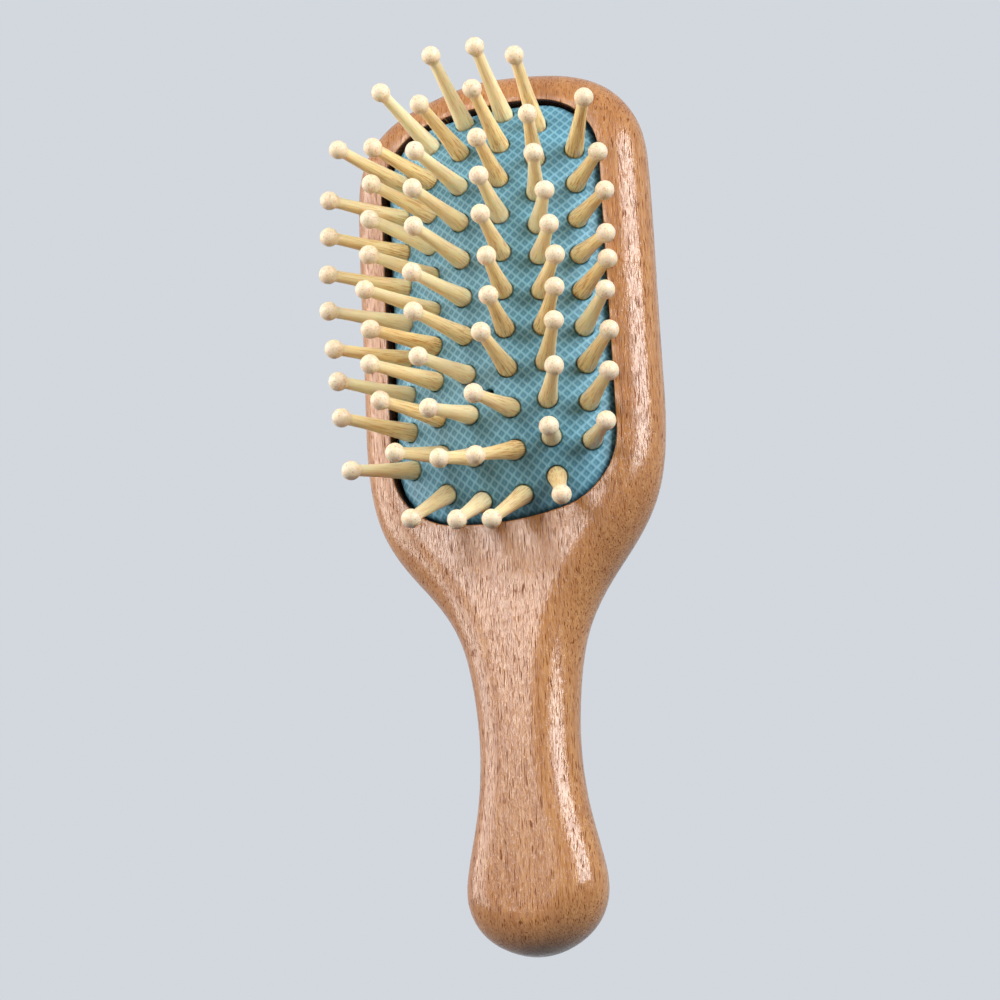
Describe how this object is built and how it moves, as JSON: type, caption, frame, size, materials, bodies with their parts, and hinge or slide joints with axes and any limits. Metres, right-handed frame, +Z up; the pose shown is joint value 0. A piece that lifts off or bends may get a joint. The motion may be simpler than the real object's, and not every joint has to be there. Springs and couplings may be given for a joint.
{
  "type": "paddle brush",
  "caption": "Small wooden paddle hairbrush: routed head with a domed rubber air cushion and ball-tipped wooden pins that press in, on a short flared handle.",
  "frame": {"origin": "under the middle of the brush, on the flat back it lies on", "axes": "+Y from the handle to the head, +X across the head, +Z up out of the cushion"},
  "size_m": [0.0622, 0.1801, 0.0414],
  "materials": {
    "beech_wood": "varnished beech, satin gloss, fine lengthwise grain",
    "pad_rubber": "soft rubber embossed with a fine diagonal lattice",
    "pin_wood": "turned pale wood, lightly polished"
  },
  "bodies": {
    "brush": {"wood_body": "beech_wood", "cushion": "pad_rubber"},
    "pin_a1": {"pin_a1": "pin_wood"},
    "pin_a2": {"pin_a2": "pin_wood"},
    "pin_a3": {"pin_a3": "pin_wood"},
    "pin_a4": {"pin_a4": "pin_wood"},
    "pin_a5": {"pin_a5": "pin_wood"},
    "pin_a6": {"pin_a6": "pin_wood"},
    "pin_a7": {"pin_a7": "pin_wood"},
    "pin_a8": {"pin_a8": "pin_wood"},
    "pin_a9": {"pin_a9": "pin_wood"},
    "pin_b0": {"pin_b0": "pin_wood"},
    "pin_b1": {"pin_b1": "pin_wood"},
    "pin_b2": {"pin_b2": "pin_wood"},
    "pin_b3": {"pin_b3": "pin_wood"},
    "pin_b4": {"pin_b4": "pin_wood"},
    "pin_b5": {"pin_b5": "pin_wood"},
    "pin_b6": {"pin_b6": "pin_wood"},
    "pin_b7": {"pin_b7": "pin_wood"},
    "pin_b8": {"pin_b8": "pin_wood"},
    "pin_b9": {"pin_b9": "pin_wood"},
    "pin_b10": {"pin_b10": "pin_wood"},
    "pin_c3_c4": {"pin_c3_c4": "pin_wood"},
    "pin_c5_c6": {"pin_c5_c6": "pin_wood"},
    "pin_c0": {"pin_c0": "pin_wood"},
    "pin_c1": {"pin_c1": "pin_wood"},
    "pin_c2": {"pin_c2": "pin_wood"},
    "pin_c7": {"pin_c7": "pin_wood"},
    "pin_c8": {"pin_c8": "pin_wood"},
    "pin_c9": {"pin_c9": "pin_wood"},
    "pin_c10": {"pin_c10": "pin_wood"},
    "pin_d3_d4": {"pin_d3_d4": "pin_wood"},
    "pin_d5_d6": {"pin_d5_d6": "pin_wood"},
    "pin_d0": {"pin_d0": "pin_wood"},
    "pin_d1": {"pin_d1": "pin_wood"},
    "pin_d2": {"pin_d2": "pin_wood"},
    "pin_d7": {"pin_d7": "pin_wood"},
    "pin_d8": {"pin_d8": "pin_wood"},
    "pin_d9": {"pin_d9": "pin_wood"},
    "pin_d10": {"pin_d10": "pin_wood"},
    "pin_e0": {"pin_e0": "pin_wood"},
    "pin_e1": {"pin_e1": "pin_wood"},
    "pin_e2": {"pin_e2": "pin_wood"},
    "pin_e3": {"pin_e3": "pin_wood"},
    "pin_e4": {"pin_e4": "pin_wood"},
    "pin_e5": {"pin_e5": "pin_wood"},
    "pin_e6": {"pin_e6": "pin_wood"},
    "pin_e7": {"pin_e7": "pin_wood"},
    "pin_e8": {"pin_e8": "pin_wood"},
    "pin_e9": {"pin_e9": "pin_wood"},
    "pin_e10": {"pin_e10": "pin_wood"},
    "pin_f1": {"pin_f1": "pin_wood"},
    "pin_f2": {"pin_f2": "pin_wood"},
    "pin_f3": {"pin_f3": "pin_wood"},
    "pin_f4": {"pin_f4": "pin_wood"},
    "pin_f5": {"pin_f5": "pin_wood"},
    "pin_f6": {"pin_f6": "pin_wood"},
    "pin_f7": {"pin_f7": "pin_wood"},
    "pin_f8": {"pin_f8": "pin_wood"},
    "pin_f9": {"pin_f9": "pin_wood"}
  },
  "joints": [
    {"name": "press_a1", "type": "slide", "parent": "brush", "child": "pin_a1", "axis": [-0.3972, 0.1341, 0.9079], "range_m": [-0.003, 0], "stiffness_N_per_m": 60},
    {"name": "press_a2", "type": "slide", "parent": "brush", "child": "pin_a2", "axis": [-0.5398, -0.0131, 0.8417], "range_m": [-0.003, 0], "stiffness_N_per_m": 60},
    {"name": "press_a3", "type": "slide", "parent": "brush", "child": "pin_a3", "axis": [-0.5532, -0.0235, 0.8327], "range_m": [-0.003, 0], "stiffness_N_per_m": 60},
    {"name": "press_a4", "type": "slide", "parent": "brush", "child": "pin_a4", "axis": [-0.5846, -0.0318, 0.8107], "range_m": [-0.003, 0], "stiffness_N_per_m": 60},
    {"name": "press_a5", "type": "slide", "parent": "brush", "child": "pin_a5", "axis": [-0.5945, -0.0321, 0.8034], "range_m": [-0.003, 0], "stiffness_N_per_m": 60},
    {"name": "press_a6", "type": "slide", "parent": "brush", "child": "pin_a6", "axis": [-0.5252, -0.0791, 0.8473], "range_m": [-0.003, 0], "stiffness_N_per_m": 60},
    {"name": "press_a7", "type": "slide", "parent": "brush", "child": "pin_a7", "axis": [-0.4782, -0.0454, 0.8771], "range_m": [-0.003, 0], "stiffness_N_per_m": 60},
    {"name": "press_a8", "type": "slide", "parent": "brush", "child": "pin_a8", "axis": [-0.4485, -0.0417, 0.8928], "range_m": [-0.003, 0], "stiffness_N_per_m": 60},
    {"name": "press_a9", "type": "slide", "parent": "brush", "child": "pin_a9", "axis": [-0.3593, -0.223, 0.9062], "range_m": [-0.003, 0], "stiffness_N_per_m": 60},
    {"name": "press_b0", "type": "slide", "parent": "brush", "child": "pin_b0", "axis": [-0.2262, 0.3151, 0.9217], "range_m": [-0.003, 0], "stiffness_N_per_m": 60},
    {"name": "press_b1", "type": "slide", "parent": "brush", "child": "pin_b1", "axis": [-0.2804, 0.0518, 0.9585], "range_m": [-0.003, 0], "stiffness_N_per_m": 60},
    {"name": "press_b2", "type": "slide", "parent": "brush", "child": "pin_b2", "axis": [-0.299, 0.0281, 0.9538], "range_m": [-0.003, 0], "stiffness_N_per_m": 60},
    {"name": "press_b3", "type": "slide", "parent": "brush", "child": "pin_b3", "axis": [-0.3289, 0.0049, 0.9444], "range_m": [-0.003, 0], "stiffness_N_per_m": 60},
    {"name": "press_b4", "type": "slide", "parent": "brush", "child": "pin_b4", "axis": [-0.3553, -0.0368, 0.934], "range_m": [-0.003, 0], "stiffness_N_per_m": 60},
    {"name": "press_b5", "type": "slide", "parent": "brush", "child": "pin_b5", "axis": [-0.4283, -0.0046, 0.9036], "range_m": [-0.003, 0], "stiffness_N_per_m": 60},
    {"name": "press_b6", "type": "slide", "parent": "brush", "child": "pin_b6", "axis": [-0.3709, -0.0701, 0.926], "range_m": [-0.003, 0], "stiffness_N_per_m": 60},
    {"name": "press_b7", "type": "slide", "parent": "brush", "child": "pin_b7", "axis": [-0.3936, -0.0462, 0.9181], "range_m": [-0.003, 0], "stiffness_N_per_m": 60},
    {"name": "press_b8", "type": "slide", "parent": "brush", "child": "pin_b8", "axis": [-0.2817, -0.0712, 0.9569], "range_m": [-0.003, 0], "stiffness_N_per_m": 60},
    {"name": "press_b9", "type": "slide", "parent": "brush", "child": "pin_b9", "axis": [-0.1567, -0.2482, 0.956], "range_m": [-0.003, 0], "stiffness_N_per_m": 60},
    {"name": "press_b10", "type": "slide", "parent": "brush", "child": "pin_b10", "axis": [-0.0867, -0.5104, 0.8555], "range_m": [-0.003, 0], "stiffness_N_per_m": 60},
    {"name": "press_c3_c4", "type": "slide", "parent": "brush", "child": "pin_c3_c4", "axis": [-0.158, 0.0339, 0.9869], "range_m": [-0.003, 0], "stiffness_N_per_m": 60},
    {"name": "press_c5_c6", "type": "slide", "parent": "brush", "child": "pin_c5_c6", "axis": [-0.2016, -0.0392, 0.9787], "range_m": [-0.003, 0], "stiffness_N_per_m": 60},
    {"name": "press_c0", "type": "slide", "parent": "brush", "child": "pin_c0", "axis": [-0.0444, 0.4616, 0.886], "range_m": [-0.003, 0], "stiffness_N_per_m": 60},
    {"name": "press_c1", "type": "slide", "parent": "brush", "child": "pin_c1", "axis": [-0.0916, 0.1857, 0.9783], "range_m": [-0.003, 0], "stiffness_N_per_m": 60},
    {"name": "press_c2", "type": "slide", "parent": "brush", "child": "pin_c2", "axis": [-0.1264, 0.0324, 0.9915], "range_m": [-0.003, 0], "stiffness_N_per_m": 60},
    {"name": "press_c7", "type": "slide", "parent": "brush", "child": "pin_c7", "axis": [-0.1662, -0.105, 0.9805], "range_m": [-0.003, 0], "stiffness_N_per_m": 60},
    {"name": "press_c8", "type": "slide", "parent": "brush", "child": "pin_c8", "axis": [-0.0893, -0.2313, 0.9688], "range_m": [-0.003, 0], "stiffness_N_per_m": 60},
    {"name": "press_c9", "type": "slide", "parent": "brush", "child": "pin_c9", "axis": [-0.039, -0.3104, 0.9498], "range_m": [-0.003, 0], "stiffness_N_per_m": 60},
    {"name": "press_c10", "type": "slide", "parent": "brush", "child": "pin_c10", "axis": [0.0328, -0.4693, 0.8824], "range_m": [-0.003, 0], "stiffness_N_per_m": 60},
    {"name": "press_d3_d4", "type": "slide", "parent": "brush", "child": "pin_d3_d4", "axis": [0.1408, 0.0168, 0.9899], "range_m": [-0.003, 0], "stiffness_N_per_m": 60},
    {"name": "press_d5_d6", "type": "slide", "parent": "brush", "child": "pin_d5_d6", "axis": [0.1845, -0.0222, 0.9826], "range_m": [-0.003, 0], "stiffness_N_per_m": 60},
    {"name": "press_d0", "type": "slide", "parent": "brush", "child": "pin_d0", "axis": [0.0136, 0.4465, 0.8947], "range_m": [-0.003, 0], "stiffness_N_per_m": 60},
    {"name": "press_d1", "type": "slide", "parent": "brush", "child": "pin_d1", "axis": [0.0568, 0.2372, 0.9698], "range_m": [-0.003, 0], "stiffness_N_per_m": 60},
    {"name": "press_d2", "type": "slide", "parent": "brush", "child": "pin_d2", "axis": [0.1264, 0.0324, 0.9915], "range_m": [-0.003, 0], "stiffness_N_per_m": 60},
    {"name": "press_d7", "type": "slide", "parent": "brush", "child": "pin_d7", "axis": [0.0806, 0.0328, 0.9962], "range_m": [-0.003, 0], "stiffness_N_per_m": 60},
    {"name": "press_d8", "type": "slide", "parent": "brush", "child": "pin_d8", "axis": [-0.0471, -0.1637, 0.9854], "range_m": [-0.003, 0], "stiffness_N_per_m": 60},
    {"name": "press_d9", "type": "slide", "parent": "brush", "child": "pin_d9", "axis": [-0.1088, -0.3416, 0.9335], "range_m": [-0.003, 0], "stiffness_N_per_m": 60},
    {"name": "press_d10", "type": "slide", "parent": "brush", "child": "pin_d10", "axis": [-0.0618, -0.5141, 0.8555], "range_m": [-0.003, 0], "stiffness_N_per_m": 60},
    {"name": "press_e0", "type": "slide", "parent": "brush", "child": "pin_e0", "axis": [0.0916, 0.4188, 0.9034], "range_m": [-0.003, 0], "stiffness_N_per_m": 60},
    {"name": "press_e1", "type": "slide", "parent": "brush", "child": "pin_e1", "axis": [0.2637, 0.0521, 0.9632], "range_m": [-0.003, 0], "stiffness_N_per_m": 60},
    {"name": "press_e2", "type": "slide", "parent": "brush", "child": "pin_e2", "axis": [0.3157, -0.0051, 0.9488], "range_m": [-0.003, 0], "stiffness_N_per_m": 60},
    {"name": "press_e3", "type": "slide", "parent": "brush", "child": "pin_e3", "axis": [0.4092, -0.0589, 0.9105], "range_m": [-0.003, 0], "stiffness_N_per_m": 60},
    {"name": "press_e4", "type": "slide", "parent": "brush", "child": "pin_e4", "axis": [0.4342, -0.0825, 0.897], "range_m": [-0.003, 0], "stiffness_N_per_m": 60},
    {"name": "press_e5", "type": "slide", "parent": "brush", "child": "pin_e5", "axis": [0.4749, -0.0198, 0.8798], "range_m": [-0.003, 0], "stiffness_N_per_m": 60},
    {"name": "press_e6", "type": "slide", "parent": "brush", "child": "pin_e6", "axis": [0.4512, 0.0261, 0.8921], "range_m": [-0.003, 0], "stiffness_N_per_m": 60},
    {"name": "press_e7", "type": "slide", "parent": "brush", "child": "pin_e7", "axis": [0.4249, 0.0651, 0.9029], "range_m": [-0.003, 0], "stiffness_N_per_m": 60},
    {"name": "press_e8", "type": "slide", "parent": "brush", "child": "pin_e8", "axis": [0.3971, -0.0201, 0.9175], "range_m": [-0.003, 0], "stiffness_N_per_m": 60},
    {"name": "press_e9", "type": "slide", "parent": "brush", "child": "pin_e9", "axis": [0.2888, -0.2406, 0.9267], "range_m": [-0.003, 0], "stiffness_N_per_m": 60},
    {"name": "press_e10", "type": "slide", "parent": "brush", "child": "pin_e10", "axis": [0.307, -0.5018, 0.8087], "range_m": [-0.003, 0], "stiffness_N_per_m": 60},
    {"name": "press_f1", "type": "slide", "parent": "brush", "child": "pin_f1", "axis": [0.4287, 0.132, 0.8937], "range_m": [-0.003, 0], "stiffness_N_per_m": 60},
    {"name": "press_f2", "type": "slide", "parent": "brush", "child": "pin_f2", "axis": [0.5371, -0.1012, 0.8374], "range_m": [-0.003, 0], "stiffness_N_per_m": 60},
    {"name": "press_f3", "type": "slide", "parent": "brush", "child": "pin_f3", "axis": [0.5777, -0.1223, 0.807], "range_m": [-0.003, 0], "stiffness_N_per_m": 60},
    {"name": "press_f4", "type": "slide", "parent": "brush", "child": "pin_f4", "axis": [0.5603, -0.1898, 0.8063], "range_m": [-0.003, 0], "stiffness_N_per_m": 60},
    {"name": "press_f5", "type": "slide", "parent": "brush", "child": "pin_f5", "axis": [0.5653, -0.0617, 0.8225], "range_m": [-0.003, 0], "stiffness_N_per_m": 60},
    {"name": "press_f6", "type": "slide", "parent": "brush", "child": "pin_f6", "axis": [0.5269, 0.0099, 0.8499], "range_m": [-0.003, 0], "stiffness_N_per_m": 60},
    {"name": "press_f7", "type": "slide", "parent": "brush", "child": "pin_f7", "axis": [0.5387, -0.0141, 0.8424], "range_m": [-0.003, 0], "stiffness_N_per_m": 60},
    {"name": "press_f8", "type": "slide", "parent": "brush", "child": "pin_f8", "axis": [0.5098, -0.0402, 0.8594], "range_m": [-0.003, 0], "stiffness_N_per_m": 60},
    {"name": "press_f9", "type": "slide", "parent": "brush", "child": "pin_f9", "axis": [0.4429, -0.153, 0.8834], "range_m": [-0.003, 0], "stiffness_N_per_m": 60}
  ]
}
